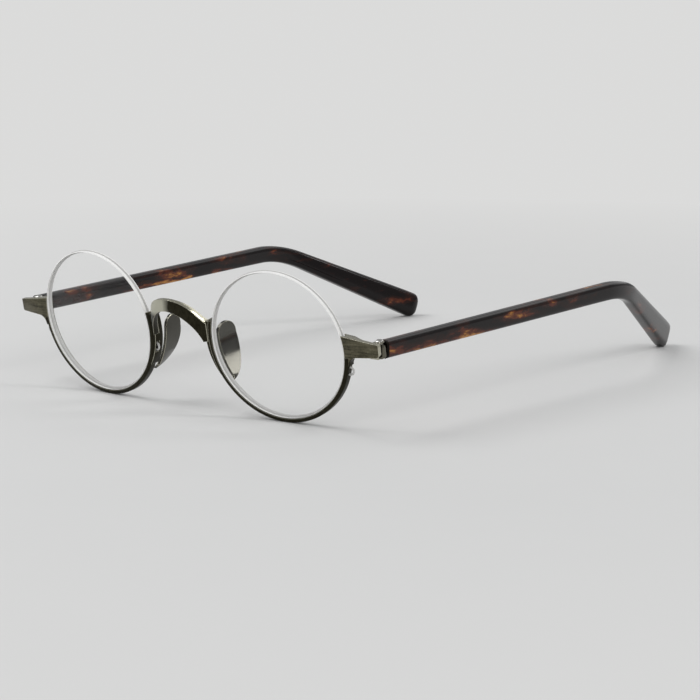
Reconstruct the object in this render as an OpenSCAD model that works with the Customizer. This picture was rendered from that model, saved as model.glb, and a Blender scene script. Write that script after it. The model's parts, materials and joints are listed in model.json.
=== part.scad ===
// Round reading glasses with a lower half rim, a nylon cord over each lens,
// a bowed strip bridge with leaf nose pads, barrel hinges and acetate temples.
// Millimetres. X runs across the front, Y back along the open temples, Z up.
// The origin is on the table, in the middle of the space that the glasses cover.
// Left and right are the wearer's: the left side is at +X.

/* [Lenses] */
// Width of each lens
lens_width = 39; // [34:0.5:46]
// Height of each lens
lens_height = 37; // [33:0.5:44]
// Distance between the two lenses
lens_gap = 20.8; // [18:0.2:26]
// Thickness of the lens at its edge
lens_edge = 1.8; // [1.6:0.1:2.2]
// Distance from the front edge of the lens to the middle of its groove
groove_set = 1.1; // [0.9:0.05:1.2]
// Width of the groove round the lens
groove_width = 0.6; // [0.5:0.05:0.7]
// Depth of the groove round the lens
groove_depth = 0.5; // [0.4:0.05:0.6]
// Radius of the front face of the lens
lens_front_radius = 130; // [100:5:260]
// How far the top of each lens leans forward, in degrees
tilt = 10.4; // [4:0.2:14]
// How far the outer side of each lens turns back, in degrees
wrap = 4.1; // [0:0.1:7]

/* [Rims] */
// Depth of the rim from front to back
rim_depth = 2.2; // [2:0.1:2.8]
// How far the rim stands out past the lens edge
rim_out = 1.1; // [1:0.05:1.5]
// Thickness of the rim's outer wall
rim_wall = 0.45; // [0.35:0.05:0.55]
// Thickness of the rim's front and back lips
rim_lip = 0.45; // [0.35:0.05:0.55]
// Rounding of the rim's outer corners
rim_round = 0.4; // [0.2:0.05:0.5]
// Gap between the lens edge and the metal round it
rim_seat = 0.08; // [0.05:0.01:0.12]
// Height of the rim's nose end above the lens centre, in degrees round the lens
rim_nose_end = 13; // [8:1:20]
// Depth of the rim's temple end below the lens centre, in degrees round the lens
rim_temple_end = 3; // [1:0.5:5]

/* [Lens cord and liner] */
// Diameter of the nylon cord
cord_d = 0.5; // [0.4:0.02:0.52]
// How deep the middle of the cord lies below the lens edge
cord_sink = 0.12; // [0.05:0.01:0.15]
// Distance between the two cord holes at each end of a rim
hole_pitch = 1.9; // [1.6:0.1:2.4]
// Where the pair of cord holes sits, in degrees below the lens centre
hole_angle = 14; // [11:0.5:18]
// Radial play of the cord in its holes
hole_play = 0.04; // [0.02:0.01:0.06]
// Gap between the liner and the lips beside it
liner_play = 0.03; // [0.02:0.01:0.05]
// Distance that the liner stays back from the cord holes, in degrees
liner_setback = 6; // [4:0.5:9]

/* [Bridge] */
// Height of the bridge's top edge above the lens centre line
bridge_rise = 10.4; // [9:0.2:12.6]
// Height of the strip at the middle of the bridge
bridge_band = 3.1; // [2.6:0.1:4.2]
// Thickness of the bridge strip from front to back
bridge_thick = 1.3; // [1:0.1:1.6]
// How far the strip bows forward of the lens centre
bridge_bow = 6.5; // [5.6:0.1:8]
// Radius of the strip's bow, seen from above
bow_radius = 12; // [11.2:0.1:13.6]
// Radius of the crown, seen from the front
crown_radius = 10.4; // [9:0.2:13]
// Angle over which each half of the crown keeps that radius, in degrees
crown_turn = 16; // [10:1:24]
// Radius of the strip's shoulders
shoulder_radius = 7.4; // [5:0.2:8.6]
// Slope at which the shoulders fall to the rims, in degrees from upright
shoulder_fall = 33; // [28:1:38]
// Height of the nose arch, from its crown to its widest place
arch_height = 12.4; // [11:0.2:14]
// Gap between the widest place of the arch and the rim's outer wall
arch_inset = 0.5; // [0.3:0.05:1]
// Thickness of each leg where it hugs the rim
leg_thick = 0.9; // [0.7:0.05:1.2]
// Length of each leg either side of its thickest place, in degrees round the lens
leg_span = 40; // [34:1:46]
// How far each leg reaches behind the middle of the rim
leg_back = 1.7; // [1.3:0.1:2]

/* [Nose pads] */
// Thickness of each leaf pad
pad_thick = 0.9; // [0.7:0.05:1.2]
// Distance from the lens edge to the pad's lens side at its foot
pad_out = 0.5; // [0.3:0.05:0.55]
// How much nearer to the nose the pad's top stands than its foot
pad_in = 0.9; // [0.5:0.1:1.3]
// Radius of the pad's rounded top
pad_top_radius = 2.95; // [2.6:0.05:3.3]
// Distance from the groove to the pad's front edge at its top
pad_set = 3; // [2.6:0.1:3.6]
// Depth of the centre of the pad's rounded top below the lens centre
pad_drop = 0.8; // [0:0.1:2]
// Length of the pad from the centre of its rounded top to its foot
pad_length = 13.2; // [11.6:0.1:14.4]
// Radius of the pad's rear edge
pad_rear_radius = 9; // [8.4:0.1:10]
// Height of the brazed foot at the bottom of the pad
pad_foot = 2.6; // [2:0.1:3.4]
// How far the pads splay outward towards the back, in degrees from the lens axis
pad_splay = 9; // [5:0.5:13]

/* [End pieces] */
// How far the end piece reaches out past the lens edge
lug_reach = 9.9; // [8.5:0.1:12]
// Height of the end piece where it meets the lens
lug_root = 5.2; // [4.6:0.1:6]
// Height of the end piece at its outer end
lug_end = 3.2; // [2.8:0.1:3.8]
// How far the outer end's lower corner lies below the lens centre line
lug_low = 0.2; // [0:0.05:0.5]
// Thickness of the end piece at its outer end
lug_thick = 1.2; // [1:0.05:1.5]
// Radius of the hollow corner between the end piece and the rim
lug_fillet = 2.4; // [1.6:0.1:3]
// Rounding of the outer end's lower corner
lug_corner = 0.8; // [0.4:0.1:1.2]

/* [Hinges] */
// Radius of the hinge barrels
barrel_radius = 1.3; // [1.2:0.05:1.45]
// Height of the whole hinge
hinge_height = 3.6; // [3.4:0.1:4.2]
// Height of the middle barrel
middle_height = 1.6; // [1.3:0.1:1.9]
// Gap above and below the middle barrel
barrel_gap = 0.06; // [0.04:0.01:0.1]
// Radius of the hinge screw
screw_radius = 0.55; // [0.45:0.05:0.65]
// Radial running clearance between screw and barrels
screw_play = 0.05; // [0.02:0.01:0.08]
// Radius of the screw head
head_radius = 1; // [0.9:0.05:1.15]
// Height of the screw head
head_height = 0.45; // [0.35:0.05:0.6]
// Distance from the back of the end piece to the hinge axis
hinge_stand = 2.9; // [2.6:0.05:3.1]
// Distance from the outer end of the end piece to the hinge axis
hinge_inset = 2.15; // [2:0.05:2.6]
// Thickness of the plate that carries the two outer barrels
leaf_thick = 1; // [0.8:0.05:1.1]
// Gap between the end piece and the temple's end cap when open
stop_gap = 0.15; // [0.1:0.01:0.25]
// Gap that moving pieces keep round the barrels
swing_gap = 0.15; // [0.1:0.01:0.2]

/* [Temples] */
// Distance from the hinge axis to the bend over the ear, along Y
temple_straight = 102; // [88:1:116]
// Length of the part behind the bend
drop_length = 56; // [44:1:60]
// Slope of the part behind the bend, in degrees below level
drop_angle = 22.6; // [18:0.2:30]
// Angle by which the part behind the bend turns in, in degrees
drop_toe = 17.6; // [8:0.2:24]
// How far the temple spreads outward between hinge and bend
temple_spread = 3; // [1:0.1:6]
// Height of the temple at the hinge
temple_h_front = 4.3; // [4:0.1:5.2]
// Height of the temple just before the bend
temple_h_bend = 4.7; // [4.4:0.1:6]
// Height of the temple near its tip
temple_h_tip = 7.4; // [6.4:0.1:8.6]
// Thickness of the temple at the hinge
temple_t_front = 3.25; // [3:0.05:3.6]
// Thickness of the temple near its tip
temple_t_tip = 4; // [3.4:0.1:4.6]
// Distance over which the bend turns, either side of the bend point
bend_reach = 9; // [6:0.5:14]
// Length of the rounded end of the tip
tip_round = 2.8; // [2.4:0.1:4.4]
// Length of the polished metal cap at the front of the temple
cap_length = 1.9; // [1.6:0.1:2.3]
// Height of the metal cap
cap_height = 3.5; // [3:0.1:3.8]
// How far the middle of the cap lies above the middle of the hinge
cap_rise = 0.25; // [0:0.05:0.3]
// Thickness of the metal cap
cap_thick = 1; // [0.85:0.05:1.1]

/* [Core wires] */
// Height of the core wire
wire_h = 1.5; // [1.2:0.1:1.6]
// Thickness of the core wire
wire_t = 0.9; // [0.7:0.05:1.1]
// Distance from the end of the core wire to the end of the temple
wire_stop = 14; // [10:1:20]
// Gap between the core wire and the temple round it
wire_play = 0.05; // [0.03:0.01:0.08]
// Length of the hinge arm that carries the core wire
arm_length = 3.2; // [2.6:0.1:4]

/* [Hidden] */
$fn = 64;

// Colours of the finishes
antique_metal = [0.42, 0.40, 0.31];
polished_metal = [0.75, 0.74, 0.70];
clear_lens = [0.85, 0.90, 0.92, 0.5];
clear_nylon = [0.92, 0.92, 0.90];
tortoise = [0.22, 0.10, 0.06];

// The lens outline is four arcs that meet without a corner in the direction of join
lens_rx = lens_width / 2;
lens_ry = lens_height / 2;
join = [0.8, 0.6];
// Overlap of neighbouring sweeps at those joins
join_lap = 0.01;
// How far the band round the lens block reaches into its core
band_lap = 1;
arc_step = (lens_rx - lens_ry) / (join.x + join.y - 1);
side_shift = arc_step * join.x;
top_shift = arc_step * join.y;
side_arc = lens_rx - side_shift;
top_arc = side_arc + arc_step;
mean_radius = (lens_rx + lens_ry) / 2;

// The back face of the lens keeps the lens equally thick from edge to centre
lens_back_radius = lens_front_radius - lens_edge;

// The rims stand on the table at their lowest rounded corner
lens_x = (lens_gap + lens_width) / 2;
lens_z = (lens_ry + rim_out - rim_round) * cos(tilt)
  + (rim_depth / 2 - rim_round) * sin(tilt) + rim_round;

// Channel inside the rim
channel_floor = rim_out - rim_wall;
channel_half = rim_depth / 2 - rim_lip;

// Share of the nose arch's height at which the strip's lower edge starts
arch_share = 0.35;

// Angles round a lens are counted from its temple side, over its top
nose_end = 180 - rim_nose_end;
temple_end = 360 - rim_temple_end;
// Thickest place of each bridge leg
leg_middle = 175;

// Height below the pad's rounded top where its rear edge is furthest back
pad_fall = 1.6;
// How far the pad's front edge leans towards the rim on its way down
pad_lean = 0.8;
nose_holes = 180 + hole_angle;
temple_holes = 360 - hole_angle;
half_pitch_angle = asin(hole_pitch / 2 / side_arc);

// Cord: radius of its line at the lens side, radius of its bends and where a bend starts
cord_reach = side_arc - cord_sink;
cord_bend = 0.32;
bend_angle = asin((hole_pitch / 2 + cord_bend) / (cord_reach + cord_bend));
// The cord's parts stop this short of each other, in collars that stand this proud
collar_gap = 0.03;
collar_rise = 0.01;

// End piece in the frame of its lens
lug_x = lens_rx + lug_reach;
lug_mid = lug_end / 2 - lug_low;
// Depth from which the end piece is cut to the lens, and the angle that the cut covers
lug_bite = 2;
lug_turn = 30;
// Lengths past the rim at which the end piece starts and ends its step to the thinner tongue
step_from = 1.3;
step_to = 3.9;
// Share of the end piece's root that lies below the lens centre line
root_share = 0.14;
// Rounding of the end piece's front outer edge
lug_nose = 0.3;
lug_back = rim_depth / 2 - lug_thick;

// Hinge axis: it leans with the lenses, level with the end piece's outer end
lug_point = lens_point([lug_x, lug_mid, rim_depth / 2]);
axis_foot = lens_point([lug_x - hinge_inset, lug_mid, lug_back - hinge_stand]);
hinge_x = axis_foot.x;
hinge_y = axis_foot.y;
hinge_z = lug_point.z;
outer_bottom = middle_height / 2 + barrel_gap;
bore_radius = screw_radius + screw_play;
// How far the hinge plate's middle lies above the hinge's: it sits behind the leaning end piece
plate_rise = 0.4;
// Shares of the screw head's radius that its slot and its flat top take
slot_share = 0.3;
head_top = 0.75;

// Temple: its outer face is flush with the end piece's outer end
temple_outer = lug_x * cos(wrap) + lens_x - hinge_x;
temple_mid = temple_outer - temple_t_front / 2;
cap_inner = temple_outer - cap_thick;
cap_back = lug_back_y() + stop_gap + cap_length;
// Open seam between the cap, which leans with the hinge, and the level end of the acetate
cap_seam = 0.25;
temple_start = cap_back + (cap_height / 2 - cap_rise) * sin(tilt) + cap_seam;
// Rounding of the cap's upper and lower rear corners
cap_round = 1.3;
cap_corner = 0.4;
tip_half = temple_h_tip / 2;
tip_low = sqrt(pow(tip_half * cos(drop_angle), 2) + pow(tip_round * sin(drop_angle), 2));
drop_dir = [
  -cos(drop_angle) * sin(drop_toe),
  cos(drop_angle) * cos(drop_toe),
  -sin(drop_angle)
];
bend_point = [
  hinge_x + temple_mid + temple_spread,
  hinge_y + temple_straight,
  tip_low - (drop_length - tip_round) * drop_dir.z
];
front_point = [hinge_x + temple_mid, hinge_y, hinge_z];
straight_dir = unit(bend_point - front_point);
straight_length = norm(bend_point - front_point);
tip_point = bend_point + drop_dir * drop_length;

// The glasses are centred on the origin from their frontmost to their rearmost point
front_most = -bridge_bow * cos(tilt) - bridge_rise * sin(tilt);
tip_centre = bend_point + drop_dir * (drop_length - tip_round);
rear_most = tip_centre.y
  + sqrt(pow(tip_round * cos(drop_angle) * cos(drop_toe), 2)
  + pow(tip_half * sin(drop_angle), 2));
mid_y = (front_most + rear_most) / 2;

// Number of points round a temple's section and round a core wire's
skin_points = 24;
wire_points = 8;
// Squareness of the temple's section and of the wire's: 2 is an ellipse
squareness = 3.6;
wire_square = 6;
// Growth of the temple's height round the bend, and where the drop reaches its full height
bend_swell = 0.2;
full_height_at = 0.87;
drop_top = temple_h_bend + bend_swell;
// Flat left at the very end of the tip
tip_flat = 0.01;
// Overlap that keeps a cut from ending on a face
eps = 0.01;

function unit(v) = v / norm(v);

// A point in a left lens's frame (out, up, forward), given in the frame of the whole
function lens_point(p) = [
  lens_x + p.x * cos(wrap) + (p.z * cos(tilt) + p.y * sin(tilt)) * sin(wrap),
  p.x * sin(wrap) - (p.z * cos(tilt) + p.y * sin(tilt)) * cos(wrap),
  lens_z + p.y * cos(tilt) - p.z * sin(tilt)
];

// Where the back of the end piece meets the temple's outer side, from the hinge axis
function lug_back_y() = -hinge_stand * cos(wrap) + (hinge_inset - cap_thick / 2) * sin(wrap);

// Points of an arc
function arc(centre, radius, from, to, steps) = [
  for (i = [0 : steps])
    let (a = from + (to - from) * i / steps)
      centre + radius * [cos(a), sin(a)]
];

function mirrored(points) = [
  for (i = [len(points) - 1 : -1 : 0]) [-points[i].x, points[i].y]
];

// Frames

// The whole front stands at the middle of the glasses' length
module placed() {
  translate([0, -mid_y, 0]) children();
}

// Middle of the bridge, leaning with the lenses
module front_frame() {
  placed() translate([0, 0, lens_z]) rotate([tilt, 0, 0]) children();
}

// Centre of the left lens: X outward, Y up, Z forward, the groove at Z = 0
module lens_frame() {
  placed() translate([lens_x, 0, lens_z]) rotate([0, 0, wrap])
    rotate([tilt, 0, 0]) rotate([90, 0, 0]) children();
}

// Middle of the left hinge, Z along its axis
module hinge_frame() {
  placed() translate([hinge_x, hinge_y, hinge_z]) rotate([tilt, 0, 0]) children();
}

module left_or_right(side) {
  if (side > 0) children();
  else mirror([1, 0, 0]) children();
}

// Shapes round the lens

// Block that covers the directions between two angles, seen from a point
module sector(apex, directions) {
  linear_extrude(4 * rim_depth, center = true)
    polygon(concat([apex], [for (d = directions) apex + 2 * lens_width * d]));
}

// Sweeps a profile round the lens: the profile's X is the distance past the lens edge
module round_lens(from, to) {
  widest_step = 80;
  steps = ceil((to - from) / widest_step);
  intersection() {
    union() for (way = [1, -1]) {
      intersection() {
        translate([way * side_shift, 0]) rotate(90 + way * 90) rotate_extrude()
          translate([side_arc, 0]) children();
        sector([way * side_shift, 0],
          [[way * join.x, join.y + join_lap], [way, 0],
            [way * join.x, -join.y - join_lap]]);
      }
      intersection() {
        translate([0, -way * top_shift]) rotate_extrude() translate([top_arc, 0]) children();
        sector([0, -way * top_shift],
          [[join.x, way * join.y], [0, way], [-join.x, way * join.y]]);
      }
    }
    sector([0, 0], [
      for (i = [0 : steps]) let (a = from + (to - from) * i / steps) [cos(a), sin(a)]
    ]);
  }
}

// Full ring of a profile round the lens
module all_round_lens() {
  for (half = [0, 180]) round_lens(half, half + 180) children();
}

// Solid oval with the lens's outline, grown by an amount: a band round a plain core
module lens_block(grow, low, high) {
  core = min(lens_rx, lens_ry) - band_lap;
  band = abs(lens_rx - lens_ry) + 2 * band_lap;
  all_round_lens() translate([-band, low]) square([band + grow, high - low]);
  translate([0, 0, low]) cylinder(h = high - low, r = core, $fn = 120);
}

module rim_section() {
  half = rim_depth / 2;
  difference() {
    polygon(concat(
      [[rim_seat, half], [rim_seat, -half]],
      arc([rim_out - rim_round, -half + rim_round], rim_round, -90, 0, 4),
      arc([rim_out - rim_round, half - rim_round], rim_round, 0, 90, 4)
    ));
    channel_section();
  }
}

module channel_section() {
  translate([rim_seat - eps, -channel_half])
    square([channel_floor - rim_seat + eps, 2 * channel_half]);
}

// Places a piece at an angle round the lens side, X pointing out from the lens edge
module at_side(angle) {
  shift = side_shift * sign(cos(angle));
  translate([shift, 0]) rotate(angle) translate([side_arc, 0]) children();
}

// The two cord holes beside each other
module cord_holes() {
  for (y = [-1, 1])
    translate([0, y * hole_pitch / 2, 0]) rotate([0, 90, 0])
      cylinder(h = rim_out + leg_thick + 1, r = cord_d / 2 + hole_play, $fn = 24);
}

// Pieces of the front

module rim() {
  color(antique_metal) lens_frame() difference() {
    round_lens(nose_end, temple_end) rim_section();
    for (a = [nose_holes, temple_holes]) at_side(a) cord_holes();
  }
}

module rim_liner() {
  ridge_half = groove_width / 2 - liner_play;
  base_half = channel_half - liner_play;
  base_top = channel_floor / 2;
  base_end = channel_floor - liner_play;
  clear = half_pitch_angle + liner_setback;
  color(clear_nylon) lens_frame() round_lens(nose_holes + clear, temple_holes - clear)
    polygon([
      [base_end, base_half], [base_top, base_half], [base_top, ridge_half],
      [-groove_depth + rim_seat, ridge_half], [-groove_depth + rim_seat, -ridge_half],
      [base_top, -ridge_half], [base_top, -base_half], [base_end, -base_half]
    ]);
}

module lens() {
  centre = [0, groove_set - sqrt(pow(lens_front_radius, 2) - pow(mean_radius, 2))];
  rim_turn = 90 - asin((max(lens_rx, lens_ry) + lens_edge) / lens_back_radius);
  color(clear_lens) lens_frame() difference() {
    intersection() {
      lens_block(0, -lens_edge, 3 * lens_edge);
      rotate_extrude() polygon(concat(
        arc(centre, lens_front_radius, rim_turn, 90, 10),
        arc(centre, lens_back_radius, 90, rim_turn, 10)
      ));
    }
    all_round_lens() translate([-groove_depth, -groove_width / 2])
      square([groove_depth + 1, groove_width]);
  }
}

// The cord lies in the groove over the top of the lens, bends out through one hole at
// each end of the rim and comes back in through the next. Its parts meet inside collars.
module lens_cord() {
  turn = atan2(join.y, join.x);
  color(clear_nylon) lens_frame() {
    cord_arc([side_shift, 0], cord_reach, temple_holes + bend_angle - 360, turn);
    cord_arc([0, -top_shift], cord_reach + arc_step, turn, 180 - turn);
    cord_arc([-side_shift, 0], cord_reach, 180 - turn, nose_holes - bend_angle);
    for (way = [1, -1])
      cord_collar([way * (side_shift + cord_reach * join.x), cord_reach * join.y], 90 + way * turn);
    cord_end(temple_holes, 1);
    cord_end(nose_holes, -1);
  }
}

// Bend out of the groove, leg through a hole, loop outside the rim and leg back in
module cord_end(angle, way) {
  half_pitch = hole_pitch / 2;
  loop_x = rim_out + cord_d / 4;
  bend_x = (cord_reach + cord_bend) * cos(bend_angle) - side_arc;
  bend_y = way * (half_pitch + cord_bend);
  bend_from = way > 0 ? 180 + bend_angle : 90;
  bend_start = [bend_x, bend_y] - cord_bend * [cos(bend_angle), way * sin(bend_angle)];
  at_side(angle) {
    cord_arc([bend_x, bend_y], cord_bend, bend_from, bend_from + 90 - bend_angle);
    cord_arc([loop_x, 0], half_pitch, -90, 90);
    for (leg = [[bend_x + collar_gap, way], [channel_floor / 2, -way]])
      translate([leg.x, leg.y * half_pitch, 0]) rotate([0, 90, 0])
        cylinder(h = loop_x - collar_gap - leg.x, d = cord_d, $fn = 24);
    cord_collar(bend_start, 90 + way * bend_angle);
    cord_collar([bend_x, way * half_pitch], 0);
    cord_collar([loop_x, half_pitch], 0);
    cord_collar([loop_x, -half_pitch], 0);
  }
}

// Arc of cord between two angles, a little short at both ends
module cord_arc(centre, radius, from, to) {
  setback = collar_gap / radius * 180 / PI;
  translate(centre) rotate(from + setback) rotate_extrude(angle = to - from - 2 * setback)
    translate([radius, 0]) circle(d = cord_d, $fn = 24);
}

module cord_collar(spot, direction) {
  translate(spot) rotate(direction) rotate([0, 90, 0])
    cylinder(h = 4 * collar_gap, r = cord_d / 2 + collar_rise, center = true, $fn = 24);
}

// Front outline of the bridge: crown and shoulders above, nose arch below
module bridge_outline() {
  rim_x = lens_x - (lens_rx + rim_out) * cos(wrap);
  arch_width = rim_x - arch_inset;
  crown = [0, bridge_rise - crown_radius];
  shoulder = crown + (crown_radius - shoulder_radius) * [sin(crown_turn), cos(crown_turn)];
  fall_start = shoulder + shoulder_radius * [cos(shoulder_fall), sin(shoulder_fall)];
  root_x = rim_x + rim_out;
  root_z = fall_start.y - (root_x - fall_start.x) / tan(shoulder_fall);
  arch_top = bridge_rise - bridge_band;
  arch_centre = arch_top - arch_height;
  leg_z = arch_centre + arch_height * arch_share;
  half = concat(
    arc(crown, crown_radius, 90, 90 - crown_turn, 6),
    arc(shoulder, shoulder_radius, 90 - crown_turn, shoulder_fall, 8),
    [[root_x, root_z], [root_x, leg_z]]
  );
  arch_from = asin(arch_share);
  arch = [
    for (i = [0 : 16])
      let (a = arch_from + (90 - arch_from) * i / 16)
        [arch_width * cos(a), arch_centre + arch_height * sin(a)]
  ];
  polygon(concat(mirrored(half), half, arch, mirrored(arch)));
}

// Leg that hugs the nose side of a rim and dies away downward
module leg_section() {
  spread = leg_thick / (1 - cos(leg_span));
  wedge = 3 * lens_rx;
  intersection() {
    translate(spread * [cos(leg_middle), sin(leg_middle)])
      circle(r = side_arc + rim_out - spread * cos(leg_span), $fn = 120);
    polygon([[0, 0], wedge * [cos(nose_end), sin(nose_end)],
      [-wedge, 0], wedge * [cos(leg_middle + leg_span), sin(leg_middle + leg_span)]]);
  }
}

module bridge_leg() {
  lens_frame() difference() {
    translate([-side_shift, 0, -leg_back]) linear_extrude(leg_back + rim_depth / 2 - rim_round / 2)
      leg_section();
    rim_envelope();
    at_side(nose_holes) cord_loop_room();
    translate([-2 * lens_rx, -2 * lens_ry - pad_drop - pad_length + pad_foot + swing_gap, -4 * rim_depth])
      cube([2 * lens_rx, 2 * lens_ry, 3.5 * rim_depth]);
  }
}

// Everything inside the rim's outer wall, at the nose side
module rim_envelope() {
  translate([-side_shift, 0, -2 * rim_depth])
    cylinder(h = 4 * rim_depth, r = side_arc + rim_out, $fn = 120);
}

// Room beside the leg for the loop of cord outside the rim
module cord_loop_room() {
  room = hole_pitch / 2 + cord_d;
  translate([rim_out - 1, -room, -cord_d]) cube([leg_thick + 3, 2 * room, 2 * cord_d]);
}

module bridge() {
  bow_centre = bow_radius - bridge_bow;
  color(antique_metal) {
    difference() {
      front_frame() intersection() {
        rotate([90, 0, 0]) translate([0, 0, -bow_radius])
          linear_extrude(2 * bow_radius) bridge_outline();
        translate([0, bow_centre, -lens_ry]) difference() {
          cylinder(h = lens_height, r = bow_radius, $fn = 120);
          translate([0, 0, -1]) cylinder(h = lens_height + 2, r = bow_radius - bridge_thick, $fn = 120);
        }
        translate([-bow_radius, -bow_radius, -lens_ry])
          cube([2 * bow_radius, bow_radius + rim_depth / 2, lens_height]);
      }
      lens_frame() rim_envelope();
      mirror([1, 0, 0]) lens_frame() rim_envelope();
    }
    bridge_leg();
    mirror([1, 0, 0]) bridge_leg();
  }
}

// Side outline of a pad: X is the distance behind the groove, Y is up
module pad_outline() {
  top = [pad_set + pad_top_radius, -pad_drop];
  foot_y = -pad_drop - pad_length;
  rear = [top.x + pad_top_radius - pad_rear_radius, top.y - pad_fall];
  translate(top) circle(r = pad_top_radius);
  intersection() {
    translate(rear) circle(r = pad_rear_radius, $fn = 120);
    polygon([
      [pad_set, top.y], [pad_set - pad_lean, foot_y + pad_foot + pad_lean],
      [rim_depth / 2, foot_y + pad_foot], [rim_depth / 2, foot_y],
      [top.x + pad_top_radius, foot_y], [top.x + pad_top_radius, top.y]
    ]);
  }
}

// A leaf cut from a shell round the lens axis, turned outward about the rim's rear face
module nose_pad() {
  inner = side_arc + pad_out;
  shell = 2 * lens_ry;
  foot_turn = asin((pad_drop + pad_length - pad_foot / 2) / inner);
  shift = pad_in * [-1, 1 / tan(foot_turn), 0];
  turn_at = [-lens_rx - pad_out, 0, -rim_depth / 2];
  color(polished_metal) lens_frame() intersection() {
    translate(turn_at) rotate([0, -pad_splay, 0]) translate(-turn_at)
      translate(shift + [-side_shift, 0, -shell]) difference() {
        cylinder(h = shell, r = inner + pad_thick, $fn = 120);
        translate([0, 0, -1]) cylinder(h = shell + 2, r = inner, $fn = 120);
      }
    rotate([0, 90, 0]) translate([0, 0, -1.5 * lens_rx]) linear_extrude(lens_rx)
      pad_outline();
  }
}

// End piece: front outline and top outline crossed
module lug_front() {
  low = lug_root * root_share;
  top = lug_root - low;
  inside = lens_rx - lug_bite;
  bottom_z = -lug_low;
  fillet_x = lens_rx + rim_out + lug_fillet;
  polygon(concat(
    [[inside, top], [inside, -low - lug_fillet]],
    arc([fillet_x, -low - lug_fillet], lug_fillet, 180, 90, 8),
    arc([lug_x - lug_corner, bottom_z + lug_corner], lug_corner, -90, 0, 5),
    [[lug_x, lug_end - lug_low]]
  ));
}

module lug_plan() {
  half = rim_depth / 2;
  inside = lens_rx - lug_bite;
  outside = lens_rx + rim_out;
  polygon(concat(
    [[inside, half], [inside, -half], [outside + step_from, -half],
      [outside + step_to, lug_back], [lug_x, lug_back]],
    arc([lug_x - lug_nose, half - lug_nose], lug_nose, 0, 90, 4)
  ));
}

module end_piece() {
  color(antique_metal) lens_frame() difference() {
    intersection() {
      translate([0, 0, -rim_depth]) linear_extrude(2 * rim_depth) lug_front();
      rotate([90, 0, 0]) translate([0, 0, -lens_ry]) linear_extrude(lens_height) lug_plan();
    }
    lens_block(rim_seat, -rim_depth, rim_depth);
    round_lens(-lug_turn, -rim_temple_end) translate([-lug_bite - 1, -rim_depth])
      square([lug_bite + 1 + rim_out, 2 * rim_depth]);
    round_lens(-rim_temple_end - 1, lug_turn) channel_section();
  }
}

// Barrel hinge
module bored_barrel(low, high) {
  translate([0, 0, low]) difference() {
    cylinder(h = high - low, r = barrel_radius);
    translate([0, 0, -1]) cylinder(h = high - low + 2, r = bore_radius);
  }
}

module behind_lug(gap) {
  difference() {
    children();
    lens_frame() translate([lens_rx, -lens_ry, lug_back - gap])
      cube([lug_reach * 2, lens_height, 2 * lug_reach]);
  }
}

module hinge_front() {
  half = hinge_height / 2;
  face = barrel_radius + swing_gap;
  plate_width = barrel_radius + cap_inner - swing_gap;
  color(antique_metal) behind_lug(0) hinge_frame() {
    for (span = [[outer_bottom, half], [-half, -outer_bottom]]) {
      bored_barrel(span[0], span[1]);
      translate([0, 0, span[0]]) difference() {
        translate([-barrel_radius, -face - leaf_thick, 0])
          cube([plate_width, face + leaf_thick, span[1] - span[0]]);
        translate([0, 0, -1]) cylinder(h = hinge_height, r = bore_radius);
      }
    }
    translate([-barrel_radius, -hinge_stand - 1, plate_rise - lug_end / 2])
      cube([plate_width, hinge_stand + 1 - face, lug_end]);
  }
}

module hinge_screw() {
  half = hinge_height / 2;
  slot = head_radius * slot_share;
  color(polished_metal) hinge_frame() difference() {
    union() {
      translate([0, 0, -half]) cylinder(h = hinge_height, r = screw_radius);
      translate([0, 0, half]) cylinder(h = head_height / 2, r = head_radius);
      translate([0, 0, half + head_height / 2])
        cylinder(h = head_height / 2, r1 = head_radius, r2 = head_radius * head_top);
    }
    translate([-head_radius - 1, -slot / 2, half + head_height / 2])
      cube([2 * head_radius + 2, slot, head_height]);
  }
}

// Arm of the middle barrel, or the room for it when grown: it leans with the hinge
// beside the barrels and runs level inside the temple
module arm_shape(grow) {
  face = barrel_radius + swing_gap;
  translate([hinge_x + temple_mid - wire_t / 2 - grow, hinge_y, hinge_z]) {
    rotate([tilt, 0, 0]) translate([0, 0, -middle_height / 2 - grow])
      cube([wire_t + 2 * grow, face + swing_gap, middle_height + 2 * grow]);
    translate([0, face, -wire_h / 2 - grow])
      cube([wire_t + 2 * grow, arm_length - face + grow, wire_h + 2 * grow]);
  }
}

// Middle barrel with its arm and the web that carries the end cap
module hinge_temple() {
  half = middle_height / 2;
  color(antique_metal) {
    hinge_frame() bored_barrel(-half, half);
    difference() {
      placed() arm_shape(0);
      hinge_frame() translate([0, 0, -hinge_height]) cylinder(h = 2 * hinge_height, r = bore_radius);
    }
    hinge_frame() difference() {
      translate([0, -barrel_radius, -half])
        cube([cap_inner, barrel_radius + cap_back, middle_height]);
      translate([0, 0, -hinge_height]) cylinder(h = 2 * hinge_height, r = bore_radius);
    }
  }
}

// Polished metal cap that closes the temple's outer front end
module end_cap() {
  low = cap_rise - cap_height / 2;
  high = cap_rise + cap_height / 2;
  long = cap_back + hinge_stand + 1;
  color(polished_metal) behind_lug(stop_gap) hinge_frame()
    translate([cap_inner, -hinge_stand - 1, 0]) rotate([90, 0, 90]) linear_extrude(cap_thick)
      polygon(concat(
        [[0, low]],
        arc([long - cap_corner, low + cap_corner], cap_corner, -90, 0, 4),
        arc([long - cap_round, high - cap_round], cap_round, 0, 90, 8),
        [[0, high]]
      ));
}

// Temple

// Centre line: straight to the bend, a smooth curve, then the drop to the tip
function bend_curve(u) =
  let (p = bend_point - straight_dir * bend_reach, q = bend_point + drop_dir * bend_reach)
    p * pow(1 - u, 2) + bend_point * 2 * u * (1 - u) + q * u * u;
function bend_way(u) = unit(straight_dir * (1 - u) + drop_dir * u);

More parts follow.
